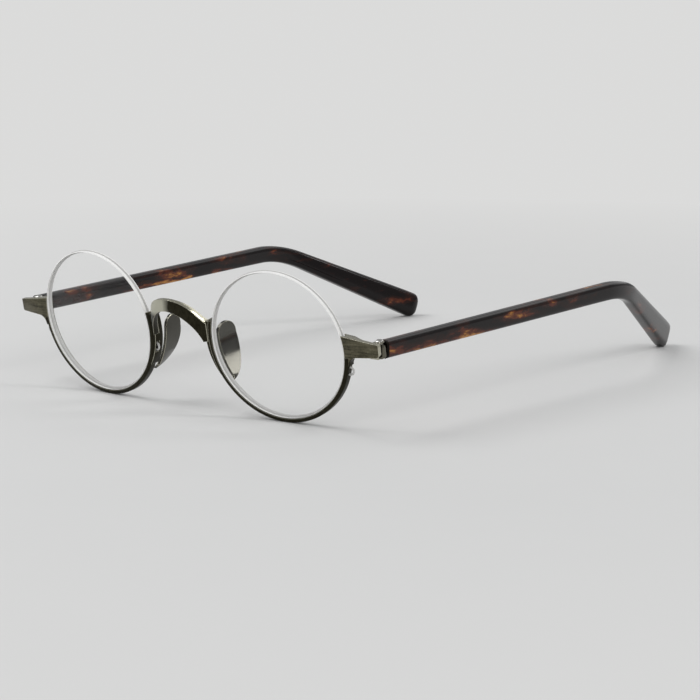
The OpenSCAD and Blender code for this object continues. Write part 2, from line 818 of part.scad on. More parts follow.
// Stations along the temple: place, direction, height and thickness
function stations(start, stop) = concat(
  [
    for (i = [0 : 5])
      let (s = start + (straight_length - bend_reach - start) * i / 6)
        [front_point + straight_dir * s, straight_dir,
          temple_h_front + (temple_h_bend - temple_h_front) * s / straight_length,
          temple_t_front + (temple_t_tip - temple_t_front) * s / straight_length / 2]
  ],
  [
    for (i = [0 : 8])
      let (u = i / 8)
        [bend_curve(u), bend_way(u), temple_h_bend + bend_swell * u,
          (temple_t_front + temple_t_tip) / 2]
  ],
  [
    for (i = [1 : 14])
      let (run = drop_length - bend_reach, s = (run - stop) * sin(90 * i / 14), u = s / run,
        end = max(0, s - (run - tip_round)), squash = sqrt(max(0, 1 - pow(end / tip_round, 2))))
        [bend_point + drop_dir * (bend_reach + s), drop_dir,
          (drop_top + (temple_h_tip - drop_top) * min(1, u / full_height_at)) * squash,
          ((temple_t_front + temple_t_tip) / 2 + (temple_t_tip - temple_t_front) / 2 * u) * squash]
  ]
);

// Ring of points round a station
function ring(place, way, height, thickness, count, square) =
  let (side = unit([1, 0, 0] - way * way.x), up = cross(side, way))
    [
      for (i = [0 : count - 1])
        let (a = 360 * i / count, c = cos(a), s = sin(a), p = 2 / square)
          place + side * (thickness / 2 * sign(c) * pow(abs(c), p))
            + up * (height / 2 * sign(s) * pow(abs(s), p))
    ];

module skin(rings) {
  count = len(rings[0]);
  last = len(rings) - 1;
  polyhedron(
    points = [for (r = rings) for (p = r) p],
    faces = concat(
      [[for (j = [count - 1 : -1 : 0]) j]],
      [
        for (i = [0 : last - 1]) for (j = [0 : count - 1])
          let (a = i * count + j, b = i * count + (j + 1) % count)
            each [[a, b, b + count], [a, b + count, a + count]]
      ],
      [[for (j = [0 : count - 1]) last * count + j]]
    )
  );
}

// Core wire, or the room for it when grown
module wire_shape(grow) {
  skin([
    for (s = stations(arm_length + wire_play - 2 * grow, wire_stop - 2 * grow))
      ring(s[0], s[1], wire_h + 2 * grow, wire_t + 2 * grow, wire_points, wire_square)
  ]);
}

module temple() {
  face = barrel_radius + swing_gap;
  tall = 2 * temple_h_bend;
  color(tortoise) placed() difference() {
    skin([
      for (s = stations(temple_start, tip_flat))
        ring(s[0], s[1], s[2], s[3], skin_points, squareness)
    ]);
    wire_shape(wire_play);
    arm_shape(wire_play);
    translate([hinge_x, hinge_y, hinge_z]) rotate([tilt, 0, 0]) translate([0, 0, -tall / 2]) {
      cylinder(h = tall, r = face);
      translate([-temple_outer, -2 * face, 0]) cube([temple_outer + cap_inner, 2 * face, tall]);
      translate([-temple_outer, -face, 0]) cube([temple_outer, 2 * face, tall]);
    }
  }
}

module core_wire() {
  color(polished_metal) placed() wire_shape(0);
}

module rim_left() left_or_right(1) rim();
module rim_right() left_or_right(-1) rim();
module rim_liner_left() left_or_right(1) rim_liner();
module rim_liner_right() left_or_right(-1) rim_liner();
module lens_left() left_or_right(1) lens();
module lens_right() left_or_right(-1) lens();
module lens_cord_left() left_or_right(1) lens_cord();
module lens_cord_right() left_or_right(-1) lens_cord();
module nose_pad_left() left_or_right(1) nose_pad();
module nose_pad_right() left_or_right(-1) nose_pad();
module end_piece_left() left_or_right(1) end_piece();
module end_piece_right() left_or_right(-1) end_piece();
module hinge_front_left() left_or_right(1) hinge_front();
module hinge_front_right() left_or_right(-1) hinge_front();
module hinge_screw_left() left_or_right(1) hinge_screw();
module hinge_screw_right() left_or_right(-1) hinge_screw();
module hinge_temple_left() left_or_right(1) hinge_temple();
module hinge_temple_right() left_or_right(-1) hinge_temple();
module end_cap_left() left_or_right(1) end_cap();
module end_cap_right() left_or_right(-1) end_cap();
module temple_left() left_or_right(1) temple();
module temple_right() left_or_right(-1) temple();
module core_wire_left() left_or_right(1) core_wire();
module core_wire_right() left_or_right(-1) core_wire();

rim_left();
rim_right();
rim_liner_left();
rim_liner_right();
lens_left();
lens_right();
lens_cord_left();
lens_cord_right();
bridge();
nose_pad_left();
nose_pad_right();
end_piece_left();
end_piece_right();
hinge_front_left();
hinge_front_right();
hinge_screw_left();
hinge_screw_right();
hinge_temple_left();
hinge_temple_right();
end_cap_left();
end_cap_right();
temple_left();
temple_right();
core_wire_left();
core_wire_right();
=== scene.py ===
"""Looks of the round reading glasses: clear grooved lenses in olive-bronze half rims,
a bowed strip bridge with leaf pads, barrel hinges and dark tortoise temples."""
import json
import logging
import math
from dataclasses import dataclass, field
from enum import Enum, IntEnum
from typing import Callable, Iterable, NamedTuple, Sequence

import bmesh
import bpy
from mathutils import Matrix, Vector


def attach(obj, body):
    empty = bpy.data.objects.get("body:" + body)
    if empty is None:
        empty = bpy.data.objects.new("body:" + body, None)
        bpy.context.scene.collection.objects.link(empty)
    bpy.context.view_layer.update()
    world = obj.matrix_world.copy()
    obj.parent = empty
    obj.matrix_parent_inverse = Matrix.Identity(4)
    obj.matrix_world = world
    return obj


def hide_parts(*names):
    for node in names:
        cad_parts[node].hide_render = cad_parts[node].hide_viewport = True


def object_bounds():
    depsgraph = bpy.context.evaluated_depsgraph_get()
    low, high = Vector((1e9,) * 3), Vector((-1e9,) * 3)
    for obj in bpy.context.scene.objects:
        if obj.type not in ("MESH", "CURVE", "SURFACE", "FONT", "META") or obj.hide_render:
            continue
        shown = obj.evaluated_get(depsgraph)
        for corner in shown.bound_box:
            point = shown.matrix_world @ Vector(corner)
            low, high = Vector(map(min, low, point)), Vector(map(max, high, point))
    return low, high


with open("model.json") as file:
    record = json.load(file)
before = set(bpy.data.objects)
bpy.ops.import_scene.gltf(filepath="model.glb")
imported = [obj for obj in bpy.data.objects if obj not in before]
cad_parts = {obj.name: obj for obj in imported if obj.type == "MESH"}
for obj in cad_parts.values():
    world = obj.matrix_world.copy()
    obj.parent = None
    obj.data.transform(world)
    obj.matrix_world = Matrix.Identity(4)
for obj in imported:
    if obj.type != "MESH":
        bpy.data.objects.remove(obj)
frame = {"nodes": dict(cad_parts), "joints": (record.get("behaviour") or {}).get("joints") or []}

MM = 0.001
FRONT_BODY = "front"
LOG = logging.getLogger("glasses")
CAD_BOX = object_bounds()

# In metres: how near points are one, how short an edge is stray, how near a point is on a cut
SAME_POINT = 0.0005 * MM
STRAY_EDGE = 0.00001 * MM
ON_CUT = 0.0001 * MM
# In degrees: how flat faces are one, and how sharp an edge is rounded
SAME_PLANE = 0.2
BEVEL_FROM = 40.0

Sizes = Sequence[float]
Colour = tuple[float, float, float]
# Gives a face's material slot from its normal, its middle and whether it is a rounded edge
Chooser = Callable[[Vector, Vector, bool], int]


class Side(Enum):
    """The wearer's two sides; the value is the sign of X."""

    LEFT = 1
    RIGHT = -1

    @property
    def word(self) -> str:
        """The side's name as the nodes use it."""
        return self.name.lower()

    @property
    def body(self) -> str:
        """The moving body on this side."""
        return f"{self.word}_side"


class BronzeFace(IntEnum):
    """Material slots of the bridge and the end pieces."""

    PLAIN = 0
    # Rounded edges rubbed bright, and top faces and outer ends, painted as highlight.
    EDGE = 1
    # Backs, undersides and feet painted as shade.
    DARK = 2


class LensFace(IntEnum):
    """Material slots of a lens."""

    CLEAR = 0
    GROUND = 1
    GROOVE = 2


class Station(NamedTuple):
    """One ring of a temple: its middle, the way it faces, its height and its thickness."""

    spot: Vector
    way: Vector
    height: float
    thick: float


# Shader maths


def opaque(colour: Sizes) -> tuple[float, ...]:
    """A colour with full alpha."""
    return (*colour, 1.0)


def dimmed(colour: Colour, share: float) -> Colour:
    """A colour darkened to a share of itself."""
    return tuple(part * share for part in colour)


class Wire:
    """A number that comes out of a node, with the operators of arithmetic."""

    def __init__(self, graph: "Graph", socket: bpy.types.NodeSocket) -> None:
        """Wraps a socket.

        Args:
            graph: The graph that the socket belongs to.
            socket: The output socket to work on.
        """
        self.graph = graph
        self.socket = socket

    def _maths(self, operation: str, *values: "Wire | float") -> "Wire":
        """Adds one Math node.

        Args:
            operation: The node's operation.
            values: Its inputs, in order.

        Returns:
            The node's result.
        """
        return self.graph.node("ShaderNodeMath", {"operation": operation}, list(values))

    def __add__(self, other: "Wire | float") -> "Wire":
        """Sum."""
        return self._maths("ADD", self, other)

    __radd__ = __add__

    def __sub__(self, other: "Wire | float") -> "Wire":
        """Difference."""
        return self._maths("SUBTRACT", self, other)

    def __rsub__(self, other: float) -> "Wire":
        """Difference from a number."""
        return self._maths("SUBTRACT", other, self)

    def __mul__(self, other: "Wire | float") -> "Wire":
        """Product."""
        return self._maths("MULTIPLY", self, other)

    __rmul__ = __mul__

    def __pow__(self, other: float) -> "Wire":
        """Power."""
        return self._maths("POWER", self, other)

    def clamped(self) -> "Wire":
        """The value held between 0 and 1."""
        return self._maths("MAXIMUM", self._maths("MINIMUM", self, 1.0), 0.0)


class Graph:
    """The node tree of one material, built by short calls."""

    def __init__(self, name: str) -> None:
        """Starts a material with an empty tree.

        Args:
            name: The material's name.
        """
        self.material = bpy.data.materials.new(name)
        self.material.use_nodes = True
        self.tree = self.material.node_tree
        self.tree.nodes.clear()
        self.output = self.tree.nodes.new("ShaderNodeOutputMaterial")
        self.coordinates = self.tree.nodes.new("ShaderNodeTexCoord")

    def node(self, kind: str, settings: dict | None = None,
             inputs: "dict | list | None" = None, out: int | str = 0) -> Wire:
        """Adds any node.

        Args:
            kind: The node's type.
            settings: Its properties, and the stops of a ramp under "stops".
            inputs: Values or wires, by socket name or in order.
            out: The output socket wanted.

        Returns:
            The chosen output.
        """
        made = self.tree.nodes.new(kind)
        for key, value in (settings or {}).items():
            if key == "stops":
                self._stops(made.color_ramp, value)
            else:
                setattr(made, key, value)
        pairs = enumerate(inputs) if isinstance(inputs, list) else (inputs or {}).items()
        for key, value in pairs:
            self.feed(made.inputs[key], value)
        return Wire(self, made.outputs[out])

    def feed(self, socket: bpy.types.NodeSocket, value: "Wire | float | Sizes") -> None:
        """Links a wire to a socket or sets the socket's value.

        Args:
            socket: The input socket.
            value: A wire, a number or a colour.
        """
        if isinstance(value, Wire):
            self.tree.links.new(value.socket, socket)
        else:
            socket.default_value = value

    @staticmethod
    def _stops(ramp: bpy.types.ColorRamp, stops: Sequence[tuple[float, Sizes]]) -> None:
        """Sets the stops of a colour ramp.

        Args:
            ramp: The ramp.
            stops: Position and colour of each stop.
        """
        while len(ramp.elements) < len(stops):
            ramp.elements.new(1.0)
        for element, (position, colour) in zip(ramp.elements, stops):
            element.position = position
            element.color = opaque(colour)

    def place(self, scale: Sizes = (1, 1, 1), turn: Sizes = (0, 0, 0)) -> Wire:
        """Object coordinates, stretched and turned.

        Args:
            scale: Scale of the pattern along each axis.
            turn: Turn about each axis, in radians.

        Returns:
            The mapped coordinates.
        """
        source = Wire(self, self.coordinates.outputs["Object"])
        return self.node("ShaderNodeMapping", {}, {"Vector": source, "Rotation": turn, "Scale": scale})

    def noise(self, scale: Sizes, detail: float = 3.0, rough: float = 0.5,
              turn: Sizes = (0, 0, 0), bend: float = 0.0) -> Wire:
        """Noise with its own scale along each axis, in cells per metre.

        Args:
            scale: Cells per metre along X, Y and Z.
            detail: Octaves.
            rough: Strength of the finer octaves.
            turn: Turn of the pattern.
            bend: Distortion.

        Returns:
            The noise's value.
        """
        return self.node("ShaderNodeTexNoise", {},
                         {"Vector": self.place(scale, turn), "Scale": 1.0, "Detail": detail,
                          "Roughness": rough, "Distortion": bend})

    def ramp(self, value: Wire, stops: Sequence[tuple[float, Sizes]], ease: str = "LINEAR") -> Wire:
        """Turns a value into a colour.

        Args:
            value: The value.
            stops: Position and colour of each stop.
            ease: How the ramp runs between its stops.

        Returns:
            The colour.
        """
        wire = self.node("ShaderNodeValToRGB", {"stops": stops}, [value])
        wire.socket.node.color_ramp.interpolation = ease
        return wire

    def range(self, value: Wire, low: float, high: float,
              to_low: float = 0.0, to_high: float = 1.0) -> Wire:
        """Maps a value from one range to another, held at the ends.

        Args:
            value: The value.
            low: Start of the range it comes from.
            high: End of that range.
            to_low: Start of the range it goes to.
            to_high: End of that range.

        Returns:
            The mapped value.
        """
        return self.node("ShaderNodeMapRange", {"clamp": True}, [value, low, high, to_low, to_high])

    def blend(self, factor: Wire, first: "Wire | Sizes", second: "Wire | Sizes") -> Wire:
        """Mixes two colours.

        Args:
            factor: 0 gives the first, 1 the second.
            first: A colour.
            second: A colour.

        Returns:
            The mixed colour.
        """
        made = self.tree.nodes.new("ShaderNodeMix")
        made.data_type = "RGBA"
        self.feed(made.inputs[0], factor)
        for socket, colour in ((made.inputs[6], first), (made.inputs[7], second)):
            self.feed(socket, colour if isinstance(colour, Wire) else opaque(colour))
        return Wire(self, made.outputs[2])

    def bump(self, height: Wire, depth: float, strength: float = 1.0) -> Wire:
        """Bump from a height.

        Args:
            height: The height, 0 to 1.
            depth: Its real depth in metres.
            strength: Share of it that shows.

        Returns:
            The bent normal.
        """
        return self.node("ShaderNodeBump", {}, {"Height": height, "Distance": depth, "Strength": strength})

    def surface(self, **sockets: "Wire | float | Sizes") -> bpy.types.Material:
        """Ends the material with one Principled BSDF.

        Args:
            sockets: Values of its sockets, with underscores for spaces.

        Returns:
            The material.
        """
        shader = self.tree.nodes.new("ShaderNodeBsdfPrincipled")
        for key, value in sockets.items():
            self.feed(shader.inputs[key.replace("_", " ")], value)
        self.tree.links.new(shader.outputs[0], self.output.inputs[0])
        return self.material


# Finishes


@dataclass(frozen=True)
class BrushedMetal:
    """Satin metal with fine brush lines and a thin uneven patina, and where it is asked for, a patch
    painted light as a highlight.

    Its four highlight sizes give where along X, and where along Z, the painted highlight begins and is
    full.
    """

    name: str
    light: Colour
    dark: Colour
    roughness: float = 0.32
    brush: tuple[float, float, float] = (260.0, 5200.0, 5200.0)
    brush_depth: float = 0.002 * MM
    # A patch painted light as a highlight: where it begins and is full along X and along Z, how ragged its
    # border is, and its colour.
    worn: tuple[float, float, float, float] | None = None
    worn_ragged: float = 2 * MM
    bare: Colour = (0.52, 0.51, 0.42)

    def material(self) -> bpy.types.Material:
        """Builds the material.

        Returns:
            The material.
        """
        graph = Graph(self.name)
        patina = graph.noise((260, 260, 260), 5.0, 0.6)
        lines = graph.noise(self.brush, 4.0, 0.6)
        fine = graph.noise((2200, 2200, 2200), 3.0, 0.6)
        shade = graph.range(patina * 0.3 + lines * 0.5 + fine * 0.2, 0.36, 0.64)
        colour = graph.blend(shade, self.dark, self.light)
        # Paints the highlight patch, lighter towards -X and towards the top.
        if self.worn:
            across, up = (graph.node("ShaderNodeSeparateXYZ", {}, [graph.place()], axis) for axis in "XZ")
            ragged = (patina - 0.5) * self.worn_ragged
            highlight_share = graph.range(across + ragged, *self.worn[:2]) * graph.range(up + ragged, *self.worn[2:])
            colour = graph.blend(highlight_share, colour, self.bare)
        return graph.surface(
            Base_Color=colour,
            Metallic=1.0,
            Roughness=graph.range(lines, 0.25, 0.75, self.roughness - 0.07, self.roughness + 0.09),
            Normal=graph.bump(lines, self.brush_depth))


@dataclass(frozen=True)
class PolishedMetal:
    """Bright metal with faint wipe marks, which keep the share dull of its colour."""

    name: str
    colour: Colour
    roughness: float = 0.12
    dull: float = 0.88
    wipe_depth: float = 0.002 * MM

    def material(self) -> bpy.types.Material:
        """Builds the material.

        Returns:
            The material.
        """
        graph = Graph(self.name)
        wipe = graph.noise((700, 500, 250), 4.0, 0.6, turn=(0.3, 0.2, 0.7))
        tone = dimmed(self.colour, self.dull)
        return graph.surface(
            Base_Color=graph.blend(graph.range(wipe, 0.35, 0.65), tone, self.colour),
            Metallic=1.0,
            Roughness=graph.range(wipe, 0.3, 0.7, self.roughness * 0.7, self.roughness * 1.4),
            Normal=graph.bump(wipe, self.wipe_depth))


@dataclass(frozen=True)
class Tortoise:
    """Polished dark tortoise acetate: cloudy amber patches in near-black brown.

    Towards the ear, between plain_from and plain_to along Y, the patches grow few.
    """

    name: str
    black: Colour = (0.006, 0.004, 0.004)
    brown: Colour = (0.020, 0.007, 0.005)
    red: Colour = (0.085, 0.020, 0.010)
    amber: Colour = (0.42, 0.185, 0.040)
    plain_from: float = 24 * MM
    plain_to: float = 40 * MM
    plain_share: float = 0.06
    wave_depth: float = 0.02 * MM

    def material(self) -> bpy.types.Material:
        """Builds the material.

        Returns:
            The material.
        """
        graph = Graph(self.name)
        cloud = graph.noise((170, 58, 230), 2.0, 0.5, bend=0.5)
        fleck = graph.noise((620, 260, 700), 3.0, 0.6, bend=0.4)
        along = graph.node("ShaderNodeSeparateXYZ", {}, [graph.place()], "Y")
        plain = graph.range(along, self.plain_from, self.plain_to, 0.0, self.plain_share)
        body = graph.ramp(cloud * 0.74 + fleck * 0.26 - plain, [
            (0.45, self.black), (0.54, self.brown), (0.59, self.red), (0.66, self.amber)], "EASE")
        grain = graph.noise((3000, 800, 3000), 2.0)
        return graph.surface(
            Base_Color=body,
            Roughness=graph.range(grain, 0.3, 0.7, 0.10, 0.16),
            IOR=1.48,
            Specular_IOR_Level=0.22,
            Coat_Weight=0.05,
            Coat_Roughness=0.04,
            Normal=graph.bump(graph.noise((90, 60, 90), 1.0), self.wave_depth, 0.6))


@dataclass(frozen=True)
class ClearGlass:
    """Clear coated lens: what lies behind shows through and the surface mirrors a little.

    head_on is the share that it mirrors when seen straight, and glancing is added edge-on.
    """

    name: str
    tint: Colour = (0.996, 0.997, 0.996)
    head_on: float = 0.008
    glancing: float = 0.4

    def material(self) -> bpy.types.Material:
        """Builds the material.

        Returns:
            The material.
        """
        graph = Graph(self.name)
        smear = graph.noise((60, 60, 60), 3.0)
        clear = graph.node("ShaderNodeBsdfTransparent", {}, {"Color": opaque(self.tint)})
        mirror = graph.node("ShaderNodeBsdfGlossy", {},
                            {"Color": (1, 1, 1, 1), "Roughness": graph.range(smear, 0.3, 0.7, 0.0, 0.03)})
        facing = graph.node("ShaderNodeLayerWeight", {}, {"Blend": 0.5}, "Facing")
        share = facing ** 4.0 * self.glancing + self.head_on
        mixed = graph.node("ShaderNodeMixShader", {}, [share, clear, mirror])
        graph.tree.links.new(mixed.socket, graph.output.inputs[0])
        return graph.material


@dataclass(frozen=True)
class Frosted:
    """Matt white: a lens's ground edge, or nylon. Its darker grains keep the share dull of it."""

    name: str
    colour: Colour
    roughness: float = 0.45
    dull: float = 0.93
    grind_depth: float = 0.004 * MM

    def material(self) -> bpy.types.Material:
        """Builds the material.

        Returns:
            The material.
        """
        graph = Graph(self.name)
        grind = graph.noise((1500, 1500, 4000), 3.0, 0.6)
        tone = dimmed(self.colour, self.dull)
        return graph.surface(
            Base_Color=graph.blend(graph.range(grind, 0.35, 0.65), tone, self.colour),
            Roughness=graph.range(grind, 0.3, 0.7, self.roughness - 0.08, self.roughness + 0.08),
            Specular_IOR_Level=0.3,
            Normal=graph.bump(grind, self.grind_depth))


@dataclass
class Palette:
    """Every finish of the object, built once."""

    bronze: bpy.types.Material = field(init=False)
    dark_bronze: bpy.types.Material = field(init=False)
    worn_bronze: bpy.types.Material = field(init=False)
    seam: bpy.types.Material = field(init=False)
    bronze_edge: bpy.types.Material = field(init=False)
    cap: bpy.types.Material = field(init=False)
    leaf: bpy.types.Material = field(init=False)
    hinge: bpy.types.Material = field(init=False)
    screw: bpy.types.Material = field(init=False)
    wire: bpy.types.Material = field(init=False)
    acetate: bpy.types.Material = field(init=False)
    glass: bpy.types.Material = field(init=False)
    ground_edge: bpy.types.Material = field(init=False)
    groove: bpy.types.Material = field(init=False)
    nylon: bpy.types.Material = field(init=False)

    def __post_init__(self) -> None:
        """Builds the materials."""
        patina = (0.036, 0.033, 0.021), (0.013, 0.012, 0.0075)
        every_way = (2200.0, 2200.0, 700.0)
        self.bronze = BrushedMetal("olive_bronze", (0.185, 0.17, 0.115), (0.036, 0.033, 0.022), 0.30,
                                   (140.0, 2200.0, 2200.0)).material()
        # Dark patina of the rims, also laid on backs and feet and the cap's front strip as painted shade.
        self.dark_bronze = BrushedMetal("dark_olive_bronze", *patina, 0.42, every_way).material()
        # The bridge's bronze, painted lighter at its upper -X end as a highlight.
        self.worn_bronze = BrushedMetal("worn_olive_bronze", *patina, 0.36, every_way,
                                        worn=(1.4 * MM, -0.8 * MM, 23.4 * MM, 24.8 * MM)).material()
        # Near black, painted on the acetate's front strip as the shadow in the gap behind the cap.
        self.seam = BrushedMetal("seam_in_shade", (0.012, 0.009, 0.006), (0.004, 0.003, 0.002),
                                 0.6).material()
        # Rubbed bright on rounded edges, and laid on top faces and outer ends as a painted highlight.
        self.bronze_edge = BrushedMetal("worn_bronze_edge", (0.58, 0.56, 0.46), (0.42, 0.40, 0.31),
                                        roughness=0.22).material()
        self.cap = PolishedMetal("polished_cap", (0.14, 0.13, 0.10), 0.16).material()
        self.leaf = PolishedMetal("bare_pad_metal", (0.088, 0.085, 0.074), 0.15).material()
        self.hinge = BrushedMetal("hinge_metal", (0.52, 0.50, 0.42), (0.36, 0.34, 0.27), 0.28).material()
        self.screw = PolishedMetal("screw_steel", (0.66, 0.65, 0.62)).material()
        self.wire = PolishedMetal("drawn_wire", (0.60, 0.59, 0.56), 0.2).material()
        self.acetate = Tortoise("dark_tortoise").material()
        self.glass = ClearGlass("clear_lens").material()
        self.ground_edge = Frosted("ground_lens_edge", (0.95, 0.945, 0.93)).material()
        self.groove = Frosted("groove_in_shade", (0.56, 0.555, 0.545)).material()
        self.nylon = Frosted("clear_nylon", (0.58, 0.575, 0.56), 0.25).material()


# Mesh helpers


def finished(name: str, mesh: bmesh.types.BMesh, materials: Iterable[bpy.types.Material],
             sharp: float = 40.0) -> bpy.types.Object:
    """Turns a bmesh into an object with smooth faces and sharp creases.

    Args:
        name: The object's name.
        mesh: The bmesh, which is freed.
        materials: Its materials, by slot.
        sharp: Angle in degrees from which an edge stays a crease.

    Returns:
        The object, linked to the scene.
    """
    for face in mesh.faces:
        face.smooth = True
    limit = math.radians(sharp)
    for edge in mesh.edges:
        edge.smooth = len(edge.link_faces) != 2 or edge.calc_face_angle(0.0) < limit
    data = bpy.data.meshes.new(name)
    mesh.to_mesh(data)
    mesh.free()
    for material in materials:
        data.materials.append(material)
    made = bpy.data.objects.new(name, data)
    bpy.context.scene.collection.objects.link(made)
    return made


def fit(piece: bpy.types.Object, node: str, body: str, slot: str) -> None:
    """Puts a piece in the place of a node.

    Args:
        piece: The new piece.
        node: The node that it stands for.
        body: The body that it rides on.
        slot: The record's material slot; it is not used.
    """
    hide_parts(node)
    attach(piece, body)
    LOG.info("%s stands for %s on %s", piece.name, node, body)


def paint(faces: Iterable[bmesh.types.BMFace], choose: Chooser, edge: bool) -> None:
    """Gives faces the material slots that a chooser names.

    Args:
        faces: The faces.
        choose: The chooser.
        edge: Whether they are rounded edges.
    """
    for face in faces:
        face.material_index = choose(face.normal, face.calc_center_median() / MM, edge)


def refined(node: str, materials: Sequence[bpy.types.Material], crease: float = 30.0,
            bevel: float = 0.0, choose: Chooser | None = None,
            cut: float | None = None) -> bpy.types.Object:
    """Copies a node's mesh, joins its loose triangles and rounds its sharp edges.

    Args:
        node: The node.
        materials: The copy's materials.
        crease: Angle in degrees from which an edge stays sharp.
        bevel: Width of the rounding in millimetres.
        choose: Gives the material slot from a face's normal, its middle in millimetres and whether
            it is a rounded edge; without it each face has the first and each edge the last.
        cut: A place along Y in millimetres where the faces are split, so that each side of it can
            have a material of its own.

    Returns:
        The copy.
    """
    pick = choose or (lambda normal, spot, edge: len(materials) - 1 if edge else 0)
    mesh = bmesh.new()
    mesh.from_mesh(frame["nodes"][node].data)
    bmesh.ops.remove_doubles(mesh, verts=mesh.verts, dist=SAME_POINT)
    bmesh.ops.dissolve_limit(mesh, angle_limit=math.radians(SAME_PLANE), use_dissolve_boundaries=False,
                             verts=mesh.verts, edges=mesh.edges, delimit={"NORMAL"})
    if cut is not None:
        bmesh.ops.bisect_plane(mesh, geom=[*mesh.verts, *mesh.edges, *mesh.faces], dist=ON_CUT,
                               plane_co=(0, cut * MM, 0), plane_no=(0, 1, 0))
    paint(mesh.faces, pick, edge=False)
    if bevel:
        sharp = [edge for edge in mesh.edges if len(edge.link_faces) == 2
                 and edge.calc_face_angle(0.0) > math.radians(BEVEL_FROM)]
        rounded = bmesh.ops.bevel(mesh, geom=sharp, offset=bevel * MM, offset_type="OFFSET", segments=2,
                                  profile=0.5, affect="EDGES", clamp_overlap=False, material=-1)
        paint(rounded["faces"], pick, edge=True)
        bmesh.ops.dissolve_degenerate(mesh, dist=STRAY_EDGE, edges=mesh.edges)
    return finished(f"{node}_piece", mesh, materials, crease)


def hinge_point(side: Side) -> Vector:
    """The point on a hinge's axis that the frame names, in millimetres.

    Args:
        side: Which hinge.

    Returns:
        The point.
    """
    fold = next(joint for joint in frame["joints"] if joint["name"] == f"fold_{side.word}")
    return Vector([part / MM for part in fold["pos_m"]])


# The object's parts


